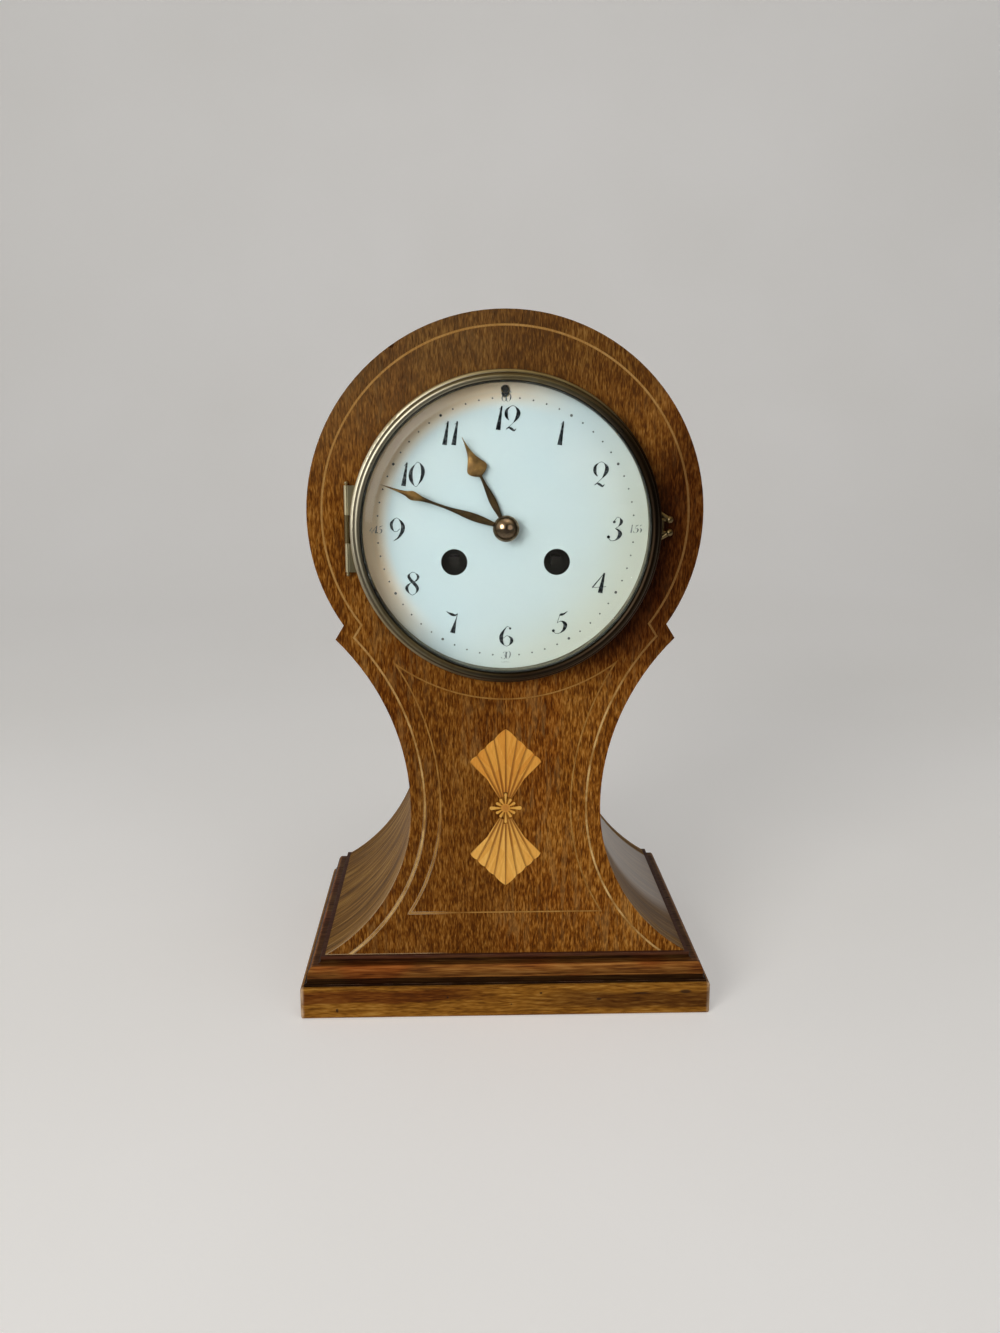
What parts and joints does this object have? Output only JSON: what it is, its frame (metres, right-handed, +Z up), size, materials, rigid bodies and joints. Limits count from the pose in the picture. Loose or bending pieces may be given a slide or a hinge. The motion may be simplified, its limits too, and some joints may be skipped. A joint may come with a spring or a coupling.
{
  "type": "balloon mantel clock",
  "caption": "Waisted balloon mantel clock: inlaid mahogany case on a moulded plinth, enamel dial under a hinged brass bezel, round striking movement with pendulum.",
  "frame": {"origin": "middle of the underside of the plinth block", "axes": "+Z up, the dial faces -Y, +X is to the right as seen from the front"},
  "size_m": [0.158, 0.1308, 0.2638],
  "materials": {
    "mahogany": "french polished",
    "mahogany_red": "french polished",
    "mahogany_plinth": "worn polish",
    "boxwood": "polished",
    "satinwood": "polished, sand shaded",
    "enamel": "glossy vitreous enamel",
    "glass": "clear",
    "bezel_brass": "aged polished",
    "hand_brass": "aged",
    "movement_brass": "grained",
    "steel": "polished",
    "bell_metal": "turned"
  },
  "bodies": {
    "case": {"front_panel": "mahogany", "case_shell": "mahogany", "back_panel": "mahogany", "plinth_moulding": "mahogany_red", "plinth_block": "mahogany_plinth", "outline_stringing": "boxwood", "panel_stringing": "boxwood", "upper_fan": "satinwood", "lower_fan": "satinwood", "rosette": "satinwood", "dial_ring": "bezel_brass", "dial": "enamel", "front_plate": "movement_brass", "back_plate": "movement_brass", "pillars": "movement_brass", "back_cock": "movement_brass", "bell": "bell_metal", "bell_standard": "steel", "bell_nut": "movement_brass", "movement_straps": "movement_brass", "strap_screws": "steel", "back_ring": "movement_brass"},
    "bezel": {"bezel": "bezel_brass", "bezel_glass": "glass", "bezel_hinge_pin": "bezel_brass", "thumb_piece": "bezel_brass"},
    "back_door": {"back_door": "movement_brass", "door_hinge_pin": "steel"},
    "minute_hand_group": {"minute_hand": "hand_brass", "hand_nut": "bezel_brass", "cannon_pinion": "steel"},
    "hour_hand_group": {"hour_hand": "hand_brass", "hour_wheel": "movement_brass"},
    "minute_wheel": {"minute_wheel": "movement_brass"},
    "third_wheel": {"third_wheel": "movement_brass"},
    "centre_wheel": {"centre_wheel": "movement_brass"},
    "intermediate_wheel": {"intermediate_wheel": "movement_brass"},
    "going_barrel": {"going_barrel": "movement_brass", "going_mainspring": "steel"},
    "escape_wheel": {"escape_wheel": "movement_brass"},
    "going_winder": {"going_arbor": "steel", "going_ratchet": "steel"},
    "going_click": {"going_click": "steel"},
    "warning_wheel": {"warning_wheel": "movement_brass"},
    "pin_wheel": {"pin_wheel": "movement_brass"},
    "second_wheel": {"second_wheel": "movement_brass"},
    "strike_barrel": {"strike_barrel": "movement_brass", "strike_mainspring": "steel"},
    "fly": {"fly": "steel"},
    "strike_winder": {"strike_arbor": "steel", "strike_ratchet": "steel"},
    "strike_click": {"strike_click": "steel"},
    "hammer": {"hammer": "steel"},
    "pendulum": {"suspension_spring": "steel", "pendulum_rod": "steel", "pendulum_bob": "movement_brass", "rating_nut": "movement_brass"},
    "pallet_group": {"pallets": "steel", "crutch": "movement_brass"},
    "regulator": {"regulator_arbor": "steel"}
  },
  "joints": [
    {"name": "bezel_hinge", "type": "hinge", "parent": "case", "child": "bezel", "pos_m": [-0.05715, -0.05635, 0.1872], "axis": [0, 0, -1], "range_deg": [0, 120]},
    {"name": "back_door_hinge", "type": "hinge", "parent": "case", "child": "back_door", "pos_m": [0.0534, 0.0617, 0.1872], "axis": [0, 0, -1], "range_deg": [0, 120]},
    {"name": "hand_setting", "type": "hinge", "parent": "case", "child": "minute_hand_group", "pos_m": [0, -0.0545, 0.1872], "axis": [0, 1, 0], "continuous": true},
    {"name": "hour_turn", "type": "hinge", "parent": "case", "child": "hour_hand_group", "pos_m": [0, -0.0495, 0.1872], "axis": [0, 1, 0], "continuous": true},
    {"name": "motion_wheel_turn", "type": "hinge", "parent": "case", "child": "minute_wheel", "pos_m": [0, -0.0435, 0.1984], "axis": [0, 1, 0], "continuous": true},
    {"name": "third_wheel_turn", "type": "hinge", "parent": "case", "child": "third_wheel", "pos_m": [-0.00827, -0.0045, 0.20081], "axis": [0, 1, 0], "continuous": true},
    {"name": "centre_wheel_turn", "type": "hinge", "parent": "case", "child": "centre_wheel", "pos_m": [0, -0.0095, 0.1872], "axis": [0, 1, 0], "continuous": true},
    {"name": "intermediate_wheel_turn", "type": "hinge", "parent": "case", "child": "intermediate_wheel", "pos_m": [0.01569, -0.0145, 0.19643], "axis": [0, 1, 0], "continuous": true},
    {"name": "going_barrel_turn", "type": "hinge", "parent": "case", "child": "going_barrel", "pos_m": [0.0188, -0.0245, 0.1746], "axis": [0, 1, 0], "continuous": true},
    {"name": "escape_wheel_turn", "type": "hinge", "parent": "case", "child": "escape_wheel", "pos_m": [0, -0.0245, 0.21032], "axis": [0, 1, 0], "continuous": true},
    {"name": "going_winding", "type": "hinge", "parent": "case", "child": "going_winder", "pos_m": [0.0188, -0.0345, 0.1746], "axis": [0, 1, 0], "range_deg": [0, 1800]},
    {"name": "going_click_lift", "type": "hinge", "parent": "case", "child": "going_click", "pos_m": [0.02226, -0.0425, 0.16395], "axis": [0, 1, 0], "range_deg": [0, 10], "stiffness_Nm_per_rad": 0.005},
    {"name": "warning_wheel_turn", "type": "hinge", "parent": "case", "child": "warning_wheel", "pos_m": [-0.01098, -0.0145, 0.21502], "axis": [0, 1, 0], "continuous": true},
    {"name": "pin_wheel_turn", "type": "hinge", "parent": "case", "child": "pin_wheel", "pos_m": [-0.02183, -0.0145, 0.21107], "axis": [0, 1, 0], "continuous": true},
    {"name": "second_wheel_turn", "type": "hinge", "parent": "case", "child": "second_wheel", "pos_m": [-0.02451, -0.0145, 0.1959], "axis": [0, 1, 0], "continuous": true},
    {"name": "strike_barrel_turn", "type": "hinge", "parent": "case", "child": "strike_barrel", "pos_m": [-0.0188, -0.0245, 0.1746], "axis": [0, 1, 0], "continuous": true},
    {"name": "fly_turn", "type": "hinge", "parent": "case", "child": "fly", "pos_m": [-0.01176, -0.0145, 0.22398], "axis": [0, 1, 0], "continuous": true},
    {"name": "strike_winding", "type": "hinge", "parent": "case", "child": "strike_winder", "pos_m": [-0.0188, -0.0345, 0.1746], "axis": [0, 1, 0], "range_deg": [0, 1800]},
    {"name": "strike_click_lift", "type": "hinge", "parent": "case", "child": "strike_click", "pos_m": [-0.02226, -0.0425, 0.16395], "axis": [0, -1, 0], "range_deg": [0, 10], "stiffness_Nm_per_rad": 0.005},
    {"name": "hammer_lift", "type": "hinge", "parent": "case", "child": "hammer", "pos_m": [-0.037, 0.0155, 0.2072], "axis": [0, 1, 0], "range_deg": [0, 12], "stiffness_Nm_per_rad": 0.02},
    {"name": "pendulum_swing", "type": "hinge", "parent": "case", "child": "pendulum", "pos_m": [0, 0.017, 0.2232], "axis": [0, 1, 0], "range_deg": [-3.5, 3.5]},
    {"name": "pallet_rock", "type": "hinge", "parent": "case", "child": "pallet_group", "pos_m": [0, 0.0055, 0.2232], "axis": [0, 1, 0], "range_deg": [-3.5, 3.5]},
    {"name": "regulator_turn", "type": "hinge", "parent": "case", "child": "regulator", "pos_m": [0, -0.0145, 0.2352], "axis": [0, 1, 0], "range_deg": [-720, 720]}
  ],
  "couplings": [
    {"joint": "hour_turn", "follows": "hand_setting", "ratio": 0.083333},
    {"joint": "motion_wheel_turn", "follows": "hand_setting", "ratio": -0.33333},
    {"joint": "centre_wheel_turn", "follows": "third_wheel_turn", "ratio": -0.083333},
    {"joint": "intermediate_wheel_turn", "follows": "third_wheel_turn", "ratio": 0.0069444},
    {"joint": "going_barrel_turn", "follows": "third_wheel_turn", "ratio": -0.0011574},
    {"joint": "escape_wheel_turn", "follows": "third_wheel_turn", "ratio": -13},
    {"joint": "pin_wheel_turn", "follows": "warning_wheel_turn", "ratio": -0.1},
    {"joint": "second_wheel_turn", "follows": "warning_wheel_turn", "ratio": 0.01},
    {"joint": "strike_barrel_turn", "follows": "warning_wheel_turn", "ratio": -0.0016667},
    {"joint": "fly_turn", "follows": "warning_wheel_turn", "ratio": -9},
    {"joint": "pallet_rock", "follows": "pendulum_swing", "ratio": 1}
  ]
}
